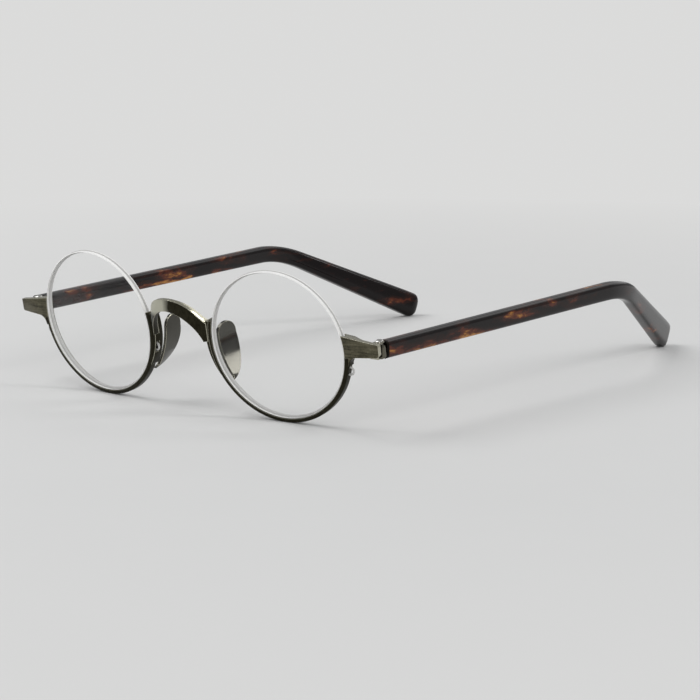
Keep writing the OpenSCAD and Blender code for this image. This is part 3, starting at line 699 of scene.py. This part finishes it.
@dataclass
class LensSet:
    """The two lenses with their ground edges, and the nylon that holds them.

    Sizes are in millimetres and degrees. They repeat those of the part's source, and the chamfer
    is added here. The groove's middle plane lies groove_set behind the lens's front edge. The
    middle of a lens lies before_hinge in front of its hinge and below_hinge under it. corner is
    the direction, seen from the middle of the outline's side arc, in which that arc meets the top
    arc. slack is how far a face may stand from the glass's edge or groove and still belong to it.
    """

    palette: Palette
    width: float = 39.0
    height: float = 37.0
    edge: float = 1.8
    groove_set: float = 1.1
    groove_width: float = 0.6
    groove_depth: float = 0.5
    front_radius: float = 130.0
    chamfer: float = 0.18
    tilt: float = 10.4
    wrap: float = 4.1
    middle_x: float = 29.9
    corner: tuple[float, float] = (0.8, 0.6)
    before_hinge: float = 4.6394
    below_hinge: float = 1.1785
    slack: float = 0.005
    same_point: float = 0.001
    crease: float = 30.0
    steps: int = 192
    rings: int = 12

    def seat(self, side: Side) -> Matrix:
        """The lens's place: X outward, Y up, Z forward, the groove at Z = 0.

        Args:
            side: Which lens.

        Returns:
            The matrix from the lens's millimetres to the scene's metres.
        """
        hinge = hinge_point(side)
        turn = (Matrix.Rotation(math.radians(self.wrap), 4, "Z")
                @ Matrix.Rotation(math.radians(self.tilt), 4, "X")
                @ Matrix.Rotation(math.radians(90), 4, "X"))
        place = Matrix.Translation(Vector(
            (self.middle_x, hinge.y - self.before_hinge, hinge.z - self.below_hinge)))
        flip = Matrix.Diagonal((side.value, 1, 1, 1))
        return Matrix.Scale(MM, 4) @ flip @ place @ turn

    def outline(self, x: float, y: float) -> float:
        """How much further from its centre the lens ends towards a point than at its top.

        Args:
            x: The point's place across the lens.
            y: The point's place up the lens.

        Returns:
            The share, 1 at the top.
        """
        half_wide, half_tall = self.width / 2, self.height / 2
        step = (half_wide - half_tall) / (sum(self.corner) - 1)
        side, top = step * self.corner[0], step * self.corner[1]
        radius = half_wide - side
        across, up = abs(x), abs(y)
        length = math.hypot(across, up)
        if not length:
            return 1.0
        across, up = across / length, up / length
        if up * (side + radius * self.corner[0]) < across * radius * self.corner[1]:
            reach = side * across + math.sqrt(radius ** 2 - (side * up) ** 2)
        else:
            reach = math.sqrt((radius + step) ** 2 - (top * across) ** 2) - top * up
        return reach / half_tall

    def profile(self) -> list[tuple[float, float]]:
        """Half section of the lens from the middle of its front to the middle of its back.

        Returns:
            Distance from the middle and height of each point, in millimetres.
        """
        rim = self.height / 2
        front, back = self.groove_set, self.groove_set - self.edge
        half = self.groove_width / 2
        chamfer = self.chamfer
        centre = front - math.sqrt(self.front_radius ** 2 - rim ** 2)
        back_radius = self.front_radius - self.edge
        reaches = [rim * (i / self.rings) for i in range(self.rings)] + [rim - chamfer]
        face = [(reach, centre + math.sqrt(self.front_radius ** 2 - reach ** 2)) for reach in reaches]
        inside = [(reach, centre + math.sqrt(back_radius ** 2 - reach ** 2)) for reach in reversed(reaches)]
        edge = [(rim, front - chamfer), (rim, half), (rim - self.groove_depth, half),
                (rim - self.groove_depth, -half), (rim, -half), (rim, back + chamfer)]
        return face + edge + inside

    def lens(self, side: Side) -> bpy.types.Object:
        """Spins the lens's half section into a lens and draws it out to its outline.

        Args:
            side: Which lens.

        Returns:
            The lens.
        """
        mesh = bmesh.new()
        points = [mesh.verts.new((reach, 0, rise)) for reach, rise in self.profile()]
        edges = [mesh.edges.new(pair) for pair in zip(points, points[1:])]
        bmesh.ops.spin(mesh, geom=points + edges, cent=(0, 0, 0), axis=(0, 0, 1), dvec=(0, 0, 0),
                       angle=math.tau, steps=self.steps, use_merge=True, use_duplicate=False)
        bmesh.ops.remove_doubles(mesh, verts=mesh.verts, dist=self.same_point)
        for vert in mesh.verts:
            share = self.outline(vert.co.x, vert.co.y)
            vert.co.x, vert.co.y = vert.co.x * share, vert.co.y * share
        bmesh.ops.transform(mesh, matrix=self.seat(side), verts=mesh.verts)
        bmesh.ops.recalc_face_normals(mesh, faces=mesh.faces)
        undo = self.seat(side).inverted()
        for face in mesh.faces:
            face.material_index = self.finish_at(undo @ face.calc_center_median())
        look = self.palette
        return finished(f"lens_{side.word}_piece", mesh, [look.glass, look.ground_edge, look.groove],
                        self.crease)

    def finish_at(self, spot: Vector) -> LensFace:
        """Tells the glass from its ground edge and the groove.

        Args:
            spot: A place on the lens, in its own millimetres.

        Returns:
            The material slot.
        """
        reach = math.hypot(spot.x, spot.y) / self.outline(spot.x, spot.y)
        depth = self.height / 2 - reach
        if depth < self.groove_depth + self.slack and abs(spot.z) < self.groove_width / 2 + self.slack:
            return LensFace.GROOVE
        return LensFace.GROUND if depth < self.chamfer + self.slack else LensFace.CLEAR

    def build(self) -> None:
        """Builds both lenses and dresses the nylon."""
        for side in Side:
            fit(self.lens(side), f"lens_{side.word}", FRONT_BODY, "lens")
            for name in ("lens_cord", "rim_liner"):
                node = f"{name}_{side.word}"
                fit(refined(node, [self.palette.nylon]), node, FRONT_BODY, "clear_nylon")


@dataclass
class MetalFront:
    """Rims, bridge, pads, end pieces and the front halves of the hinges.

    rounding is how wide the edges of the bridge and the end pieces are rounded, and an end
    piece's foot, painted as shade, begins foot_below under the hinge, both in millimetres. The other
    values are the least part of a face's normal along Z, Y or outward X for it to look up, back or
    out; faces that look up or out are painted as highlight, and faces that look back as shade.
    """

    palette: Palette
    rounding: float = 0.07
    foot_below: float = 2.3
    lug_up: float = 0.6
    lug_back: float = 0.3
    lug_out: float = 0.8
    bridge_up: float = 0.42
    bridge_back: float = -0.3

    def lug_finish(self, side: Side) -> Chooser:
        """How the faces of an end piece are finished.

        Args:
            side: Which end piece.

        Returns:
            The choice: foot and back are painted as shade, and of the rest the top, the outer end
            and the rounded edges are painted as highlight, the edges also rubbed bright.
        """
        hinge = hinge_point(side)
        foot = hinge.z - self.foot_below

        def choose(normal: Vector, spot: Vector, edge: bool) -> int:
            """Picks the finish of one face.

            Args:
                normal: The way it looks.
                spot: Its middle in millimetres.
                edge: Whether it is a rounded edge.

            Returns:
                The material slot.
            """
            # Foot and back painted as shade; top, outer end and rounded edges painted as highlight, the
            # edges also rubbed bright.
            if spot.z < foot or normal.y > self.lug_back:
                return BronzeFace.DARK
            lit_outer_end = normal.x * side.value > self.lug_out and abs(spot.x) > abs(hinge.x)
            return BronzeFace.EDGE if edge or normal.z > self.lug_up or lit_outer_end else BronzeFace.PLAIN

        return choose

    def bridge_finish(self, normal: Vector, spot: Vector, edge: bool) -> int:
        """How a face of the bridge is finished.

        Args:
            normal: The way it looks.
            spot: Its middle in millimetres, which makes no difference here.
            edge: Whether it is a rounded edge.

        Returns:
            The material slot: top and rounded edges are painted as highlight, the edges also rubbed
            bright, and the underside and the back are painted as shade.
        """
        # Top and rounded edges painted as highlight, the edges also rubbed bright; faces that do not look
        # forward painted as shade.
        if edge or normal.z > self.bridge_up:
            return BronzeFace.EDGE
        return BronzeFace.DARK if normal.y > self.bridge_back else BronzeFace.PLAIN

    def build(self) -> None:
        """Dresses the metal pieces of the front."""
        look = self.palette
        bridge = refined("bridge", [look.worn_bronze, look.bronze_edge, look.dark_bronze],
                         bevel=self.rounding, choose=self.bridge_finish)
        fit(bridge, "bridge", FRONT_BODY, "antique_metal")
        for side in Side:
            lug = refined(f"end_piece_{side.word}", [look.bronze, look.bronze_edge, look.dark_bronze],
                          bevel=self.rounding, choose=self.lug_finish(side))
            fit(lug, f"end_piece_{side.word}", FRONT_BODY, "antique_metal")
            # Rims, pads and hinge halves have rounded edges rubbed bright and painted as highlight.
            for name, materials, crease, bevel, slot in (
                    ("rim", [look.dark_bronze, look.bronze_edge], 30, 0.05, "antique_metal"),
                    ("nose_pad", [look.leaf, look.bronze_edge], 18, 0.1, "pad_metal"),
                    ("hinge_front", [look.hinge, look.bronze_edge], 30, 0.05, "hinge_metal"),
                    ("hinge_screw", [look.screw], 30, 0.04, "screw_steel")):
                node = f"{name}_{side.word}"
                fit(refined(node, materials, crease, bevel), node, FRONT_BODY, slot)


@dataclass
class TempleArm:
    """One acetate temple with its metal parts.

    Sizes are in millimetres and degrees. They repeat those of the part's source, but for a
    slightly squarer section and the widths of the two strips painted dark as shadow in the gaps.
    The centre line starts middle outside the hinge's axis, and the acetate start along it. The
    barrels turn in a room of radius barrel_room, and in front of the axis the acetate's inner
    face lies cap_inner outside it. squareness is the power of the rounded section. The drop grows
    to its full height at the share full_height_at of its length, and its last ring lies at
    last_share.
    """

    palette: Palette
    side: Side
    straight: float = 102.0
    drop: float = 56.0
    drop_angle: float = 22.6
    drop_toe: float = 17.6
    spread: float = 3.0
    height_front: float = 4.3
    height_bend: float = 4.7
    height_tip: float = 7.4
    swell: float = 0.2
    full_height_at: float = 0.87
    thick_front: float = 3.25
    thick_tip: float = 4.0
    bend_reach: float = 9.0
    tip_round: float = 2.8
    middle: float = 0.7124
    start: float = -0.2038
    barrel_room: float = 1.45
    cap_inner: float = 1.3374
    tilt: float = 10.4
    squareness: float = 3.8
    # Widths of the acetate's and the cap's front strips that are painted dark as the shadow in the gaps.
    seam: float = 0.75
    cap_edge: float = 0.6
    crease: float = 50.0
    points: int = 48
    hinge_rings: int = 28
    arm_rings: int = 21
    bend_rings: int = 16
    drop_rings: int = 40
    last_share: float = 0.9999

    def __post_init__(self) -> None:
        """Works out the centre line from the hinge and the sizes."""
        x, y, z = hinge_point(self.side)
        self.hinge = Vector((abs(x), y, z))
        down, toe = math.radians(self.drop_angle), math.radians(self.drop_toe)
        self.fall = Vector((-math.cos(down) * math.sin(toe), math.cos(down) * math.cos(toe),
                            -math.sin(down)))
        low = math.hypot(self.height_tip / 2 * math.cos(down), self.tip_round * math.sin(down))
        self.front = Vector((abs(x) + self.middle, y, z))
        self.bend = Vector((self.front.x + self.spread, y + self.straight,
                            low - (self.drop - self.tip_round) * self.fall.z))
        self.run = (self.bend - self.front).length
        self.way = (self.bend - self.front).normalized()
        self.thick_bend = (self.thick_front + self.thick_tip) / 2
        self.height_drop = self.height_bend + self.swell

    def arm_stations(self) -> list[Station]:
        """Rings of the straight part, close together where the room for the barrels is.

        Returns:
            The rings, from front to back.
        """
        near, last = 3 * self.barrel_room, self.run - self.bend_reach
        steps = [self.start + (near - self.start) * i / self.hinge_rings for i in range(self.hinge_rings)]
        steps += [near + (last - near) * i / self.arm_rings for i in range(self.arm_rings)]
        rings = []
        for step in steps:
            share = step / self.run
            rings.append(Station(
                self.front + self.way * step, self.way,
                self.height_front + (self.height_bend - self.height_front) * share,
                self.thick_front + (self.thick_tip - self.thick_front) * share / 2))
        return rings

    def bend_stations(self) -> list[Station]:
        """Rings round the bend, on a curve from one straight to the other.

        Returns:
            The rings, from front to back.
        """
        first, second = self.bend - self.way * self.bend_reach, self.bend + self.fall * self.bend_reach
        rings = []
        for i in range(self.bend_rings + 1):
            share = i / self.bend_rings
            spot = first * (1 - share) ** 2 + self.bend * 2 * share * (1 - share) + second * share * share
            rings.append(Station(spot, self.way.lerp(self.fall, share).normalized(),
                                 self.height_bend + self.swell * share, self.thick_bend))
        return rings

    def drop_stations(self) -> list[Station]:
        """Rings of the drop, which grows taller and closes in a round tip.

        Returns:
            The rings, from front to back.
        """
        span = self.drop - self.bend_reach
        rings = []
        for i in range(1, self.drop_rings + 1):
            step = span * self.last_share * math.sin(math.pi / 2 * i / self.drop_rings)
            share = step / span
            in_tip = max(0.0, step - (span - self.tip_round))
            squash = math.sqrt(max(0.0, 1 - (in_tip / self.tip_round) ** 2))
            grown = min(1.0, share / self.full_height_at)
            height = self.height_drop + (self.height_tip - self.height_drop) * grown
            thick = self.thick_bend + (self.thick_tip - self.thick_front) / 2 * share
            rings.append(Station(self.bend + self.fall * (self.bend_reach + step), self.fall,
                                 height * squash, thick * squash))
        return rings

    def squared(self, part: float) -> float:
        """A sine or cosine bent towards that of a rounded rectangle."""
        return math.copysign(abs(part) ** (2 / self.squareness), part)

    def clear_of_hinge(self, spot: Vector) -> Vector:
        """Moves a point of the skin outward, out of the room that the hinge barrels turn in.

        Args:
            spot: The point, on the left side, in millimetres.

        Returns:
            The point, or its place on the wall of that room.
        """
        lean = math.radians(self.tilt)
        local = spot - self.hinge
        back = local.y * math.cos(lean) + local.z * math.sin(lean)
        if back >= self.barrel_room:
            return spot
        wall = math.sqrt(max(0.0, self.barrel_room ** 2 - back * back))
        if back < 0:
            wall = max(wall, self.cap_inner)
        return Vector((self.hinge.x + max(local.x, wall), spot.y, spot.z))

    def acetate(self) -> bpy.types.Object:
        """Sweeps the rounded section along the centre line, no further back or down than the CAD.

        Returns:
            The temple.
        """
        mesh = bmesh.new()
        loops = []
        rearmost, lowest = CAD_BOX[1][1], CAD_BOX[0][2]
        for spot, way, height, thick in self.arm_stations() + self.bend_stations() + self.drop_stations():
            across = (Vector((1, 0, 0)) - way * way.x).normalized()
            up = across.cross(way)
            ring = bmesh.ops.create_circle(mesh, cap_ends=False, segments=self.points, radius=1.0)["verts"]
            for vert in ring:
                angle = math.atan2(vert.co.y, vert.co.x)
                wide = self.squared(math.cos(angle)) * thick / 2
                tall = self.squared(math.sin(angle)) * height / 2
                x, y, z = self.clear_of_hinge(spot + across * wide + up * tall) * MM
                vert.co = (x * self.side.value, min(y, rearmost), max(z, lowest))
            loops.append({edge for vert in ring for edge in vert.link_edges})
        for one, two in zip(loops, loops[1:]):
            bmesh.ops.bridge_loops(mesh, edges=list(one | two))
        bmesh.ops.holes_fill(mesh, edges=mesh.edges, sides=0)
        bmesh.ops.recalc_face_normals(mesh, faces=mesh.faces)
        # The acetate's front strip is painted near black as the shadow in the gap behind the cap.
        shadow_strip_end = (self.front.y + self.start + self.seam) * MM
        for face in mesh.faces:
            face.material_index = int(face.calc_center_median().y < shadow_strip_end)
        look = self.palette
        return finished(f"temple_{self.side.word}_piece", mesh, [look.acetate, look.seam], self.crease)

    def build(self) -> None:
        """Builds the temple and dresses its metal."""
        word, body = self.side.word, self.side.body
        fit(self.acetate(), f"temple_{word}", body, "tortoise_acetate")
        look = self.palette
        # The cap's front strip is painted dark as the shadow in the gap behind the end piece.
        skin = frame["nodes"][f"end_cap_{word}"].data.vertices
        cap_shadow_end = min(vert.co.y for vert in skin) / MM + self.cap_edge
        cap = refined(f"end_cap_{word}", [look.cap, look.dark_bronze], bevel=0.12, cut=cap_shadow_end,
                      choose=lambda normal, spot, edge: int(spot.y < cap_shadow_end))
        fit(cap, f"end_cap_{word}", body, "antique_metal")
        for name, material, bevel, slot in (
                ("hinge_temple", look.hinge, 0.05, "hinge_metal"),
                ("core_wire", look.wire, 0.0, "wire_metal")):
            node = f"{name}_{word}"
            fit(refined(node, [material], bevel=bevel), node, body, slot)


# The studio


@dataclass
class Studio:
    """Floor, light and camera.

    aim, distance, focal and sensor are in millimetres, the other lengths in metres. sight is the
    nearest and the furthest that the camera sees. Between fade_from and fade_to from the origin
    the floor turns into the backdrop.
    """

    azimuth: float = 38.299
    elevation: float = 9.881
    aim: tuple[float, float, float] = (9.048, -20.142, 8.48)
    distance: float = 584.211
    focal: float = 113.33
    sensor: float = 36.0
    sight: tuple[float, float] = (0.01, 20.0)
    floor_reach: float = 6.0
    floor_colour: Colour = (0.70, 0.70, 0.695)
    backdrop: Colour = (0.71, 0.71, 0.705)
    fade_from: float = 0.16
    fade_to: float = 0.45
    sky: Colour = (0.80, 0.81, 0.82)
    sky_strength: float = 0.45
    lamp_aim: tuple[float, float, float] = (0.0, 0.0, 0.01)

    def back(self) -> Vector:
        """Direction from the aim to the camera."""
        turn, rise = math.radians(self.azimuth), math.radians(self.elevation)
        return Vector((math.sin(turn) * math.cos(rise), -math.cos(turn) * math.cos(rise), math.sin(rise)))

    def camera(self) -> None:
        """Places the camera at the photograph's viewing angle."""
        data = bpy.data.cameras.new("camera")
        data.lens, data.sensor_width, data.sensor_fit = self.focal, self.sensor, "HORIZONTAL"
        data.clip_start, data.clip_end = self.sight
        made = bpy.data.objects.new("camera", data)
        made.location = (Vector(self.aim) + self.back() * self.distance) * MM
        made.rotation_euler = (-self.back()).to_track_quat("-Z", "Y").to_euler()
        bpy.context.scene.collection.objects.link(made)
        bpy.context.scene.camera = made

    def floor(self) -> None:
        """Makes the pale floor."""
        mesh = bmesh.new()
        bmesh.ops.create_grid(mesh, x_segments=1, y_segments=1, size=self.floor_reach)
        graph = Graph("floor")
        grain = graph.noise((40, 40, 40), 3.0)
        tone = dimmed(self.floor_colour, 0.985)
        graph.surface(Base_Color=graph.blend(grain, tone, self.floor_colour), Roughness=0.6,
                      Specular_IOR_Level=0.15)
        near = graph.output.inputs[0].links[0].from_socket
        far = graph.node("ShaderNodeEmission", {}, {"Color": opaque(self.backdrop), "Strength": 1.0})
        away = graph.node("ShaderNodeVectorMath", {"operation": "LENGTH"}, [graph.place()], "Value")
        fade = graph.range(away, self.fade_from, self.fade_to) * self.seen(graph)
        mixed = graph.node("ShaderNodeMixShader", {}, [fade, Wire(graph, near), far])
        graph.tree.links.new(mixed.socket, graph.output.inputs[0])
        finished("floor", mesh, [graph.material])

    @staticmethod
    def seen(graph: Graph) -> Wire:
        """1 for rays from the camera, off a mirror or through glass, else 0.

        Args:
            graph: The node tree to add to.

        Returns:
            The switch.
        """
        path = graph.tree.nodes.new("ShaderNodeLightPath")
        rays = [Wire(graph, path.outputs[name])
                for name in ("Is Camera Ray", "Is Glossy Ray", "Is Transmission Ray")]
        return (rays[0] + rays[1] + rays[2]).clamped()

    def lamp(self, name: str, spot: Sizes, size: Sizes, power: float) -> None:
        """Adds a soft box that looks at the middle of the object.

        Args:
            name: Its name.
            spot: Its place in metres.
            size: Its width and height in metres.
            power: Its power in watts.
        """
        data = bpy.data.lights.new(name, "AREA")
        data.shape, data.energy = "RECTANGLE", power
        data.size, data.size_y = size
        made = bpy.data.objects.new(name, data)
        made.location = spot
        made.rotation_euler = (Vector(self.lamp_aim) - Vector(spot)).to_track_quat("-Z", "Y").to_euler()
        bpy.context.scene.collection.objects.link(made)

    def world(self) -> None:
        """Sets the plain pale surroundings."""
        world = bpy.data.worlds.new("surroundings")
        world.use_nodes = True
        light = world.node_tree.nodes["Background"].inputs
        light["Color"].default_value = opaque(self.sky)
        light["Strength"].default_value = self.sky_strength
        bpy.context.scene.world = world

    def build(self) -> None:
        """Builds the studio."""
        bpy.context.scene.view_settings.view_transform = "Standard"
        self.camera()
        self.floor()
        self.world()
        self.lamp("key", (-0.45, -0.25, 0.75), (0.6, 0.6), 3.6)
        self.lamp("fill", (0.7, -0.7, 0.45), (0.7, 0.7), 2.8)
        self.lamp("rear", (0.1, 0.9, 0.6), (0.8, 0.8), 2.0)
        self.lamp("right", (0.77, 0.57, 0.66), (0.27, 0.5), 2.8)
        self.lamp("left", (-0.70, 0.16, 0.12), (0.22, 0.22), 0.5)


def main() -> None:
    """Builds the studio and the object."""
    logging.basicConfig(level=logging.INFO, format="%(name)s: %(message)s")
    Studio().build()
    palette = Palette()
    LensSet(palette).build()
    MetalFront(palette).build()
    for side in Side:
        TempleArm(palette, side).build()


if __name__ == "__main__":
    main()
